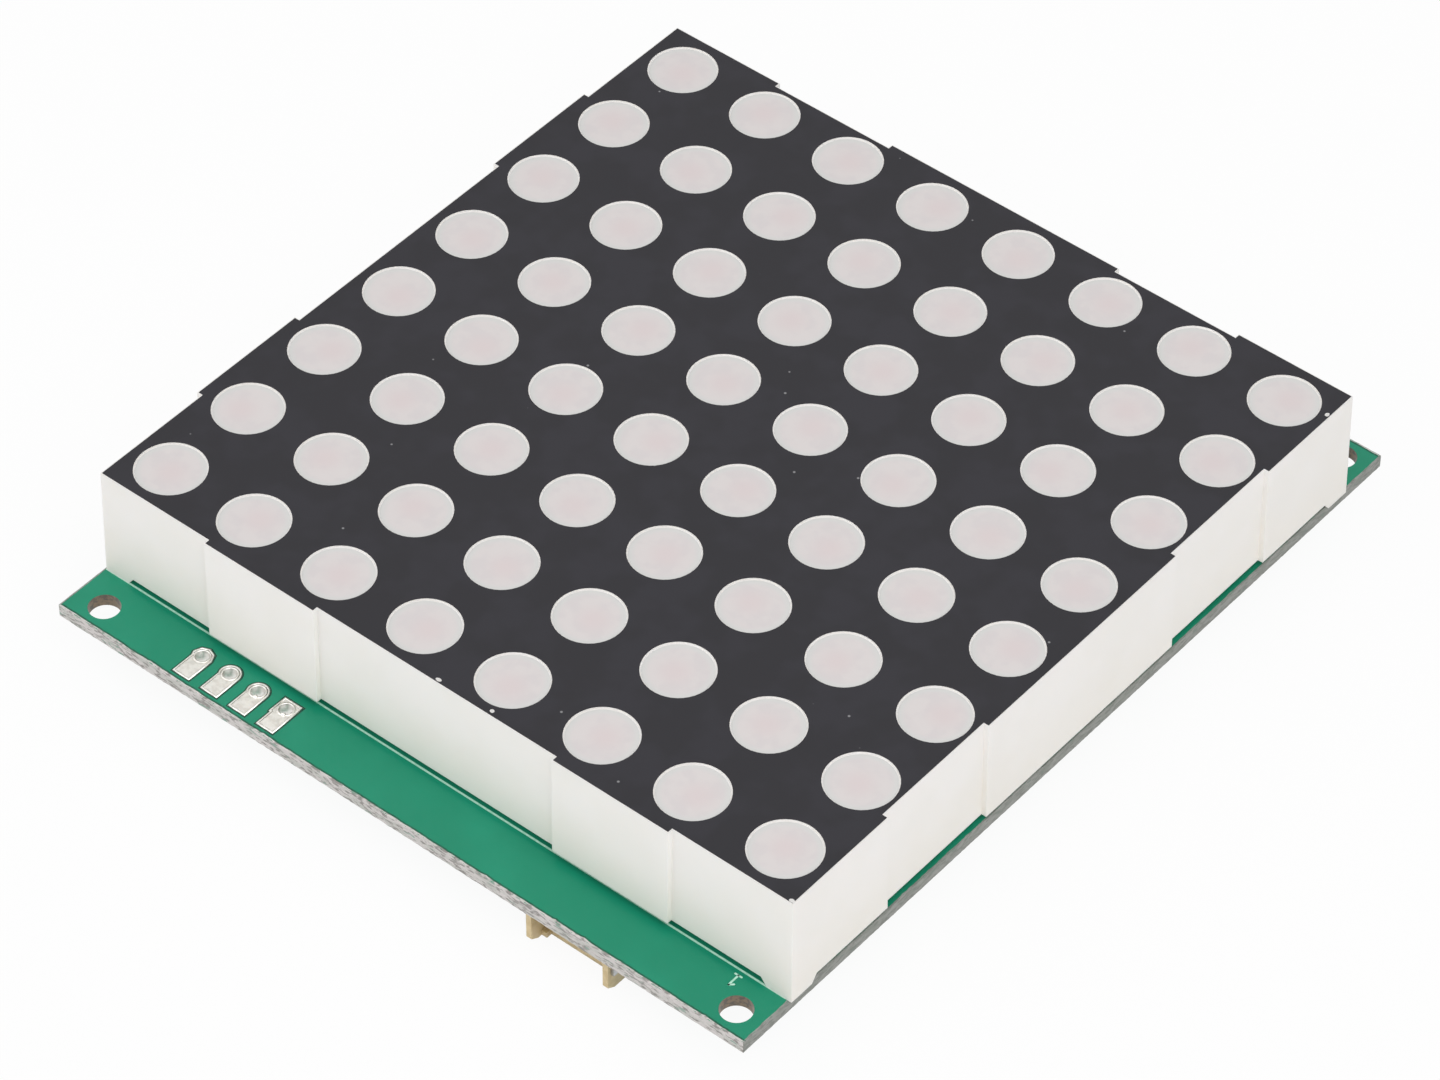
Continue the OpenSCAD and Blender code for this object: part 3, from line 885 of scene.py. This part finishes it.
    def edge(self, side: str, start: Point, end: Point, cut: Cut) -> None:
        """Makes the cut face along one side of the board, with a ragged line where the mask ends.

        Args:
            side: Which side of the board it is.
            start: Corner where the side begins.
            end: Corner where it ends, counter-clockwise round the board.
            cut: How the side was cut.
        """
        name = f"{cut.name.lower()}_{side}_edge"
        chance = random.Random(name)
        rough, finish = cut.value
        along = Vector(end) - Vector(start)
        count = int(along.length / self.ragged_step)
        step = along.normalized()
        out = Vector((step.y, -step.x))
        heights = [share * self.top for share in (1.0, 1.0, 0.78, 0.5, 0.2, 0.0, 0.0)]
        rows: list[Loop] = [[] for _ in heights]
        bite = 0.0
        for i in range(count + 1):
            bite = 0.6 * bite + 0.4 * chance.uniform(0.2, 2.2) * rough
            bite += 1.2 * rough if chance.random() < 0.04 else 0.0
            for row, height in enumerate(heights):
                away = chance.uniform(0.05, 0.75) * rough
                rise = chance.uniform(-0.12, 0.12) * rough
                if row in (0, len(heights) - 1):
                    away = -0.05 - bite
                    rise = 0.008 if row == 0 else -0.008
                elif i in (0, count):
                    away = 0.01
                place = Vector(start) + step * (along.length * i / count) + out * away
                rows[row].append((place.x, place.y, height + rise))
        maker = Maker()
        maker.loft(rows, caps=False, closed=False)
        maker.piece(name, finish)
        if cut is Cut.ROUTED:
            self.bruise(f"bruised_{side}_edge", rows[0], out)

    def bruise(self, name: str, line: Loop, out: Vector) -> None:
        """Makes the darker stripe where the router has lifted the mask along its line.

        Args:
            name: Name of the piece.
            line: Ragged line where the mask ends.
            out: Direction out of the board.
        """
        inner = self.bruise_w
        profile = ((-0.02, -0.004), (-0.02, 0.004), (inner, 0.003), (inner, -0.004))
        rows = [
            [(x - out.x * away, y - out.y * away, self.top + rise) for x, y, _ in line]
            for away, rise in profile
        ]
        maker = Maker()
        maker.loft(rows, caps=False, closed=False)
        maker.piece(name, BRUISED_MASK)


# ---- Cable socket ----


@dataclass
class CableSocket(Assembly):
    """The small nylon socket under the front of the board, and the solder that holds it.

    Attributes:
        pitch: Distance between contacts.
        foot: Length of a contact's foot.
        mound: Section of the solder at an anchor: share of its width, and depth.
    """

    pitch: float = 1.25
    foot: float = 1.5
    mound: tuple[Point, ...] = ((1.0, 0.0), (1.0, 0.08), (0.9, 0.3), (0.72, 0.5), (0.45, 0.66), (0.15, 0.74))

    def __post_init__(self) -> None:
        """Takes the socket's place from its solids."""
        (low_x, _, _), (high_x, _, _) = self.box("socket_housing")
        self.x, self.width = (low_x + high_x) / 2, high_x - low_x
        (_, near_y, _), (_, far_y, _) = self.box("socket_anchor_left")
        self.anchor_y = (near_y + far_y) / 2
        self.foot_y = self.box("socket_contacts")[1][1] - self.foot / 2

    def finishes(self) -> dict[str, Finish]:
        """Returns the finish of each solid; see Assembly.finishes."""
        return {"socket_housing": NYLON, "socket_contacts": BRONZE, "socket_anchor": LEAD_TIN}

    def build(self) -> None:
        """Dresses the socket and solders it."""
        self.dress()
        self.anchor_solder()
        self.contact_solder()

    def anchor_solder(self) -> None:
        """Makes the lump of solder round each anchor's foot."""
        maker = Maker()
        chance = random.Random(3)
        for side in (-1, 1):
            centre = (self.x + side * (self.width / 2 + 0.42), self.anchor_y)
            loops = []
            for share, down in self.mound:
                ring = rounded_box((0, 0), (1.5, 2.7), 0.5)
                ring = [(px * share * chance.uniform(0.95, 1.05), py * share) for px, py in ring]
                shift = -side * 0.3 * (1 - share)
                loops.append([(centre[0] + shift + px, centre[1] + py, -down) for px, py in ring])
            maker.loft(loops)
        maker.piece("anchor_solder", SOLDER, smooth=True)

    def contact_solder(self) -> None:
        """Makes the solder round the foot of each contact."""
        maker = Maker()
        for across in spread(4, self.pitch):
            solder_foot(maker, (self.x + across, self.foot_y), 90, 0.32, self.foot, 0.25)
        maker.piece("contact_solder", SOLDER, smooth=True)


def solder_foot(maker: Maker, at: Point, turn: float, width: float, length: float, thick: float) -> None:
    """Adds the soldered pad round the flat foot of a lead, under the board.

    Args:
        maker: Collects the faces.
        at: Middle of the foot.
        turn: Direction in which the lead points, in degrees from +X.
        width: Width of the foot.
        length: Length of the foot.
        thick: Thickness of the foot.
    """
    spin = Matrix.Rotation(math.radians(turn), 2)
    sections = (
        (0.16, 0.42, 0.0), (0.16, 0.42, 0.03), (0.1, 0.28, 0.06), (0.03, 0.1, 0.6 * thick + 0.03),
        (-0.01, 0.02, thick - 0.02),
    )
    loops: list[Loop] = []
    for wider, longer, down in sections:
        size = (length + longer, width + wider)
        ring = rounded_box((0, 0), size, 0.3 * min(size), 3)
        turned = [spin @ Vector(p) for p in ring]
        loops.append([(at[0] + p.x, at[1] + p.y, -down) for p in turned])
    maker.loft(loops)


# ---- Chips ----


@dataclass(frozen=True)
class LeadRow:
    """One row of gull-wing leads.

    Attributes:
        turn: Direction in which they point, in degrees from +X.
        count: Number of leads.
        pitch: Distance between them.
        side: Distance from the package's middle to its side.
        width: Width of a lead.
        reach: How far a lead stands out.
        foot: Length of its foot.
    """

    turn: float
    count: int
    pitch: float
    side: float
    width: float
    reach: float
    foot: float


@dataclass(frozen=True)
class Package:
    """A leaded package under the board: its name, place, plan size and leads."""

    name: str
    at: Point
    size: Point
    rows: tuple[LeadRow, ...]

    def feet(self) -> list[tuple[Point, LeadRow]]:
        """Returns the middle of each foot, with its row."""
        found = []
        for row in self.rows:
            spin = Matrix.Rotation(math.radians(row.turn), 2)
            for across in spread(row.count, row.pitch):
                spot = spin @ Vector((row.side + row.reach - row.foot / 2, across))
                found.append(((self.at[0] + spot.x, self.at[1] + spot.y), row))
        return found


def lead_rows(turns: Sequence[float], *sizes: float) -> tuple[LeadRow, ...]:
    """Returns the same row of leads on several sides."""
    return tuple(LeadRow(turn, *sizes) for turn in turns)


SWITCH_X = spread(8, 5.08)
SWITCH_Y = 17.2
GATE_Y = 12.6
CONTROLLER = Package(
    "controller", (0, -8), (7, 7), lead_rows((0, 90, 180, 270), 12, 0.5, 3.5, 0.22, 1.0, 0.55)
)
DRIVERS = [
    Package(f"driver_{name}", (x, 4), (8.65, 3.9), lead_rows((90, 270), 12, 0.635, 1.95, 0.25, 1.05, 0.6))
    for name, x in (("left", -14), ("right", 14))
]
SWITCHES = [
    Package(
        f"switch_{i}",
        (x, SWITCH_Y),
        (2.9, 1.3),
        (LeadRow(90, 1, 1.0, 0.65, 0.42, 0.6, 0.3), LeadRow(270, 2, 1.9, 0.65, 0.42, 0.6, 0.3)),
    )
    for i, x in enumerate(SWITCH_X)
]
REGULATOR = Package(
    "regulator",
    (0, -29),
    (6.5, 3.5),
    (LeadRow(90, 1, 1.0, 1.75, 3.0, 1.75, 1.0), LeadRow(270, 3, 2.3, 1.75, 0.7, 1.75, 1.0)),
)
PACKAGES = [CONTROLLER, *DRIVERS, *SWITCHES, REGULATOR]


@dataclass
class Chips(Assembly):
    """The leaded packages under the board, their solder and the ink outlines round them.

    Attributes:
        outline_gap: Distance from a package to its outline.
        ink_w: Width of the ink line.
        leg: Length of each leg of a corner mark.
    """

    outline_gap: float = 0.25
    ink_w: float = 0.14
    leg: float = 0.45

    def finishes(self) -> dict[str, Finish]:
        """Returns the finish of each solid; see Assembly.finishes."""
        names = ("controller", "dot_driver_left", "dot_driver_right", "regulator")
        bodies = {f"{name}_body": MOULD_BLACK for name in names}
        leads = {f"{name}_leads": LEAD_TIN for name in names}
        return {**bodies, "row_switch_": MOULD_BLACK, **leads, "row_switch_leads": LEAD_TIN}

    def build(self) -> None:
        """Dresses the packages, solders them and draws their outlines."""
        self.dress()
        self.lead_solder()
        self.outlines()

    def lead_solder(self) -> None:
        """Makes the soldered pad round each lead's foot."""
        maker = Maker()
        for package in PACKAGES:
            for spot, row in package.feet():
                solder_foot(maker, spot, row.turn, row.width, row.foot, 0.15)
        maker.piece("lead_solder", SOLDER, smooth=True)

    def outlines(self) -> None:
        """Makes the corner marks and first-lead dot of each package, in ink."""
        maker = Maker()
        for package in PACKAGES:
            x, y = package.at
            half_x, half_y = (s / 2 + self.outline_gap for s in package.size)
            for side in (-1, 1):
                edge = x + side * half_x
                lines = [[(edge, y - half_y), (edge, y + half_y)]]
                if not package.rows[0].turn:
                    lines = [
                        [(edge - side * self.leg, far), (edge, far), (edge, far - end * self.leg)]
                        for end, far in ((-1, y - half_y), (1, y + half_y))
                    ]
                for line in lines:
                    maker.plate(line_outline(line, self.ink_w), -INK_T, 0.0)
            mark = (x - half_x - 0.4, y - half_y - 0.2)
            radius = 0.2 if package.size[0] > 4 else 0.12
            maker.plate(circle(mark, radius, 16), -INK_T, 0.0)
        maker.piece("underside_ink", WHITE_INK)


# ---- Small chip parts ----


@dataclass
class SmallParts(Assembly):
    """Capacitors and resistors, each lying along Y, and the solder at their ends.

    Attributes:
        bulk: Width, length and height of a bulk capacitor.
        small: The same of any other capacitor.
        flat: The same of a resistor.
        bulk_at: Where the bulk capacitors lie.
        small_at: Where the other capacitors lie.
        flat_at: Where the resistors lie.
    """

    bulk: tuple[float, float, float] = (1.6, 3.2, 1.3)
    small: tuple[float, float, float] = (0.8, 1.6, 0.8)
    flat: tuple[float, float, float] = (0.8, 1.6, 0.45)
    bulk_at: tuple[Point, ...] = ((6.4, -29), (-6.4, -29))
    small_at: tuple[Point, ...] = ((-8.2, -8), (8.2, -8), (0, -15), (0, -1.2), (-14, -1.4), (14, -1.4))
    flat_at: tuple[Point, ...] = (
        (21.2, -29.4), (23.2, -29.4), (-22, 4), (22, 4), *((x, GATE_Y) for x in SWITCH_X),
    )

    def finishes(self) -> dict[str, Finish]:
        """Returns the finish of each solid; see Assembly.finishes."""
        return {
            "input_capacitor": CERAMIC,
            "output_capacitor": CERAMIC,
            "decoupling_capacitors": CERAMIC,
            "gate_resistors": GLAZE,
            "pull_up_resistors": GLAZE,
            "current_set_resistors": GLAZE,
            "bulk_capacitor_ends": LEAD_TIN,
            "decoupling_capacitor_ends": LEAD_TIN,
            "resistor_ends": LEAD_TIN,
        }

    def build(self) -> None:
        """Dresses the parts and solders their ends."""
        self.dress()
        self.end_solder()

    def end_solder(self) -> None:
        """Makes the hollow fillet of solder at each end of each part, and ink lines beside the part."""
        maker = Maker()
        ink = Maker()
        kinds = ((self.bulk, self.bulk_at), (self.small, self.small_at), (self.flat, self.flat_at))
        for size, places in kinds:
            for at in places:
                for side in (-1, 1):
                    self.fillet(maker, at, side, size)
                    x = at[0] + side * (size[0] / 2 + 0.32)
                    line = [(x, at[1] - 0.3 * size[1]), (x, at[1] + 0.3 * size[1])]
                    ink.plate(line_outline(line, 0.12), -INK_T, 0.0)
        maker.piece("chip_end_solder", SOLDER, smooth=True)
        ink.piece("small_part_ink", WHITE_INK)

    def fillet(self, maker: Maker, at: Point, side: int, size: tuple[float, float, float]) -> None:
        """Adds one fillet.

        Args:
            maker: Collects the faces.
            at: Middle of the part.
            side: End of the part, -1 or 1.
            size: Size of the part.
        """
        width, length, height = size
        edge = side * length / 2
        inner = edge - side * 0.2 * length
        reach = 0.35 + 0.15 * height
        loops: list[Loop] = []
        section = (
            (1, 0.2, 0), (1, 0.2, 0.03), (0.6, 0.12, 0.1), (0.3, 0.06, 0.25), (0.12, 0.03, 0.45),
            (0.02, 0.01, 0.7),
        )
        for out, wide, down in section:
            outer = edge + side * reach * out
            middle = (at[0], at[1] + (inner + outer) / 2)
            ring = rounded_box(middle, (width + wide, abs(outer - inner)), 0.08, 3)
            drop = down if down <= 0.03 else down * height
            loops.append(level(ring, -drop))
        maker.loft(loops)


# ---- Copper tracks ----


@dataclass
class Tracks(Assembly):
    """The copper under the mask on the underside: tracks with slanted bends, and plated vias.

    Attributes:
        width: Usual width of a track.
        thick: How far a track stands out.
        pin_y: Where the rear row of pins lies.
        vias: Places of the vias, added while routing.
        paths: Points and width of each track, added while routing.
    """

    width: float = 0.25
    thick: float = 0.02
    pin_y: float = 22.86
    vias: list[Point] = field(default_factory=list)
    paths: list[tuple[list[Point], float]] = field(default_factory=list)

    def build(self) -> None:
        """Routes the tracks and makes the copper and the vias."""
        self.route_front()
        self.route_drivers()
        self.route_switches()
        self.route_power()
        self.escapes()
        maker = Maker()
        for path, width in self.paths:
            maker.plate(line_outline(path, width), -self.thick, 0.0)
        maker.piece("copper_tracks", MASK_ON_COPPER)
        rings = Maker()
        for at in self.vias:
            sections = ((0.34, 0.0), (0.33, 0.025), (0.17, 0.03), (0.12, 0.01))
            rings.loft([level(circle(at, r, 16), -down) for r, down in sections])
        rings.piece("tented_vias", MASK_ON_COPPER, smooth=True)

    def track(self, *path: Point, width: float | None = None) -> None:
        """Adds one track through these points."""
        self.paths.append((list(path), width or self.width))

    def swerve(self, start: Point, bend_y: float, x: float, end_y: float) -> list[Point]:
        """Returns a way up from start that slants to another x at bend_y, and goes on to end_y."""
        return [start, (start[0], bend_y), (x, bend_y + abs(x - start[0])), (x, end_y)]

    def route_front(self) -> None:
        """Leads the header and the socket between the front pins to the controller."""
        headers = [-15.7 + x for x in spread(4, PIN_PITCH)]
        contacts = [14.65 + x for x in spread(4, 1.25)]
        for i in range(4):
            gap = -17.78 + i * PIN_PITCH
            turn_y = -18.0 - 0.5 * i
            lead = -2.75 + 0.5 * i
            way = self.swerve((headers[i], -32.4), -28.2, gap, turn_y - 0.4)
            self.track(*way, (gap + 0.4, turn_y), (lead - 0.4, turn_y), (lead, turn_y + 0.4), (lead, -12.2))
        for i in range(4):
            gap = 10.16 + i * PIN_PITCH
            turn_y = -19.5 + 0.5 * i
            lead = 1.25 + 0.5 * i
            way = self.swerve((contacts[i], -28.2), -27.2, gap, turn_y - 0.4)
            self.track(*way, (gap - 0.4, turn_y), (lead + 0.4, turn_y), (lead, turn_y + 0.4), (lead, -12.2))

    def route_drivers(self) -> None:
        """Leads the controller's sides to both drivers, and the drivers to the rear pins."""
        for side in (-1, 1):
            for i, y in enumerate((-5.25, -5.75, -6.25, -9.75, -10.25, -10.75)):
                lead = 14 - 3.4925 + 0.635 * i if i < 3 else 14 + 0.9525 + 0.635 * (i - 3)
                start, end = (side * 4.0, y), (side * lead, 1.2)
                self.track(start, (side * (lead - 0.5), y), (side * lead, y + 0.5), end)
            ways = (
                (11, 20.3, 19.05), (9, 15.55, 16.51), (6, 14.95, 13.97), (3, 10.45, 11.43), (1, 9.85, 8.89),
            )
            for place, gap, pin in ways:
                lead = 14 - 3.4925 + 0.635 * place
                first = [(side * lead, 6.7), (side * lead, 8.0), (side * gap, 8.0 + abs(gap - lead))]
                last = [(side * gap, 19.6), (side * pin, 19.6 + abs(pin - gap))]
                self.track(*first, *last, (side * pin, self.pin_y - 0.6))

    def route_switches(self) -> None:
        """Leads each gate resistor to its switch, and each switch to a via."""
        for x in SWITCH_X:
            self.track((x - 0.95, 16.2), (x - 0.95, 14.7), (x, 13.75), (x, 13.3))
            self.track((x, 11.9), (x, 10.7))
            self.track((x, 18.2), (x, 19.3), width=0.45)
            self.track((x + 0.95, 16.2), (x + 0.95, 15.1), width=0.45)
            self.vias += [(x, 10.5), (x, 19.4), (x + 0.95, 14.9)]

    def route_power(self) -> None:
        """Makes the wide copper between the regulator and its capacitors."""
        for side in (-1, 1):
            self.track(
                (side * 2.3, -32.5), (side * 2.3, -33.3), (side * 5.4, -33.3), (side * 6.4, -32.3),
                (side * 6.4, -30.4), width=0.9,
            )
            self.track((side * 6.4, -27.6), (side * 6.4, -26.2), width=0.9)
            self.vias += [(side * (6.4 + dx), -25.9) for dx in (-0.4, 0.4)]
            self.track((side * 22, 4.6), (side * 22, 7.4))
            self.track((side * 22, 3.4), (side * 22, 0.6))
            self.vias += [(side * 22, 7.6), (side * 22, 0.4)]
        self.track((0, -25.9), (0, -24.9), width=2.6)
        self.vias += [(x, -24.6) for x in (-0.9, 0, 0.9)]
        self.track((21.2, -28.7), (21.2, -27.4), (23.2, -27.4), (23.2, -28.7))
        for x in (21.2, 23.2):
            self.track((x, -30.1), (x, -31.6))
            self.vias.append((x, -31.8))

    def escapes(self) -> None:
        """Makes the short tracks from the remaining leads to a via each."""
        chance = random.Random(5)
        taken = [point for path, _ in self.paths for point in (path[0], path[-1])]
        for package in (CONTROLLER, *DRIVERS):
            for i, (spot, row) in enumerate(package.feet()):
                if any(math.dist(spot, point) < 0.5 for point in taken):
                    continue
                spin = Matrix.Rotation(math.radians(row.turn), 2)
                reach = (1.1, 2.1)[i % 2] + chance.uniform(0, 0.15)
                if row.turn == 90 and package is CONTROLLER and abs(spot[0]) < 1.4:
                    continue
                end = Vector(spot) + spin @ Vector((reach, 0))
                self.track(spot, tuple(end))
                self.vias.append(tuple(end))


# ---- Studio ----


@dataclass
class Studio:
    """The floor, the lamps, the world and the camera.

    Attributes:
        target: Point that the camera looks at.
        azimuth: Direction from there to the camera, in degrees from -Y towards +X.
        elevation: Its height above the horizon, in degrees.
        distance: Its distance from the target.
        roll: Its turn about the line of sight, in degrees.
        lens: Its focal length.
        floor_size: Side of the floor.
        floor_gap: Distance from the display's lowest point to the floor.
        sky: Strength of the sky as a light.
        shown: Share of full white with which the floor is seen.
    """

    target: tuple[float, float, float] = (-0.68, -0.29, -0.12)
    azimuth: float = 39.70
    elevation: float = 45.12
    distance: float = 421.4
    roll: float = 0.19
    lens: float = 153.4
    floor_size: float = 6000.0
    floor_gap: float = 0.02
    sky: float = 0.52
    shown: float = 0.93

    def build(self) -> None:
        """Makes the whole studio."""
        self.floor()
        self.world()
        self.lamp("key_softbox", (420, -260, 620), 620, 3.4)
        self.lamp("fill_softbox", (-460, -420, 300), 700, 1.3)
        self.camera()
        bpy.context.scene.view_settings.view_transform = "Standard"

    def seen(self, tree: Tree) -> Socket:
        """Returns a socket that is 1 for the camera, mirrors and glass, and 0 for lighting."""
        path = add_node(tree, "ShaderNodeLightPath")
        seen = path.outputs["Is Camera Ray"]
        for ray in ("Is Glossy Ray", "Is Transmission Ray"):
            either = add_node(tree, "ShaderNodeMath", {0: seen, 1: path.outputs[ray]}, operation="MAXIMUM")
            seen = either.outputs[0]
        return seen

    def floor(self) -> None:
        """Makes the pale floor just under the lowest point of the display, clear when seen from below."""
        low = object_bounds()[0][2] - self.floor_gap * MM
        mesh = bmesh.new()
        half = self.floor_size * MM / 2
        corners = ((-half, -half), (half, -half), (half, half), (-half, half))
        mesh.faces.new([mesh.verts.new((x, y, low)) for x, y in corners])
        data = bpy.data.meshes.new("studio_floor")
        mesh.to_mesh(data)
        mesh.free()
        material = bpy.data.materials.new("matt_white_floor")
        material.use_nodes = True
        tree = material.node_tree
        tree.nodes.clear()
        matt = add_node(tree, "ShaderNodeBsdfDiffuse", {"Color": (0.86, 0.86, 0.86, 1)})
        bright = add_node(tree, "ShaderNodeEmission", {"Color": (1, 1, 1, 1), "Strength": 1.0})
        share = add_node(tree, "ShaderNodeMath", {0: self.seen(tree), 1: self.shown}, operation="MULTIPLY")
        mixed = add_node(
            tree, "ShaderNodeMixShader", {0: share.outputs[0], 1: matt.outputs[0], 2: bright.outputs[0]}
        )
        under = add_node(tree, "ShaderNodeNewGeometry").outputs["Backfacing"]
        clear = add_node(tree, "ShaderNodeBsdfTransparent")
        sided = add_node(tree, "ShaderNodeMixShader", {0: under, 1: mixed.outputs[0], 2: clear.outputs[0]})
        add_node(tree, "ShaderNodeOutputMaterial", {"Surface": sided.outputs[0]})
        data.materials.append(material)
        put("studio_floor", data)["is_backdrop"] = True

    def world(self) -> None:
        """Makes an even white sky: soft for lighting, white where it is seen."""
        world = bpy.data.worlds.new("studio_sky")
        bpy.context.scene.world = world
        world.use_nodes = True
        tree = world.node_tree
        tree.nodes.clear()
        soft = add_node(tree, "ShaderNodeBackground", {"Color": (1, 1, 1, 1), "Strength": self.sky})
        white = add_node(tree, "ShaderNodeBackground", {"Color": (1, 1, 1, 1), "Strength": 1.0})
        mixed = add_node(
            tree, "ShaderNodeMixShader", {0: self.seen(tree), 1: soft.outputs[0], 2: white.outputs[0]}
        )
        add_node(tree, "ShaderNodeOutputWorld", {"Surface": mixed.outputs[0]})

    def lamp(self, name: str, place: tuple[float, float, float], size: float, watts: float) -> None:
        """Makes one square softbox that points at the display.

        Args:
            name: Name of the lamp.
            place: Where it hangs, in millimetres.
            size: Its side, in millimetres.
            watts: Its power.
        """
        light = bpy.data.lights.new(name, "AREA")
        light.energy = watts
        light.size = size * MM
        made = put(name, light)
        made.location = Vector(place) * MM
        made.rotation_euler = (-made.location).to_track_quat("-Z", "Y").to_euler()

    def camera(self) -> None:
        """Makes the camera."""
        camera = put("camera", bpy.data.cameras.new("camera"))
        camera.data.lens = self.lens
        camera.data.sensor_width = 36.0
        camera.data.clip_start = 0.01
        camera.data.clip_end = 20.0
        around, up = math.radians(self.azimuth), math.radians(self.elevation)
        away = Vector((math.cos(up) * math.sin(around), -math.cos(up) * math.cos(around), math.sin(up)))
        camera.location = (Vector(self.target) + away * self.distance) * MM
        look = (-away).to_track_quat("-Z", "Y").to_matrix().to_4x4()
        turned = look @ Matrix.Rotation(math.radians(self.roll), 4, "Z")
        camera.matrix_world = Matrix.Translation(camera.location) @ turned
        bpy.context.scene.camera = camera


def main() -> None:
    """Loads the frame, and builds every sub-assembly in order."""
    logging.basicConfig(level=logging.INFO, format="%(message)s")
    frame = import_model()
    nodes = frame["nodes"]
    for assembly in (DisplayModule, DriverBoard, CableSocket, Chips, SmallParts, Tracks):
        assembly(nodes).build()
        LOG.info("built %s", assembly.__name__)
    Studio().build()


if __name__ == "__main__":
    main()
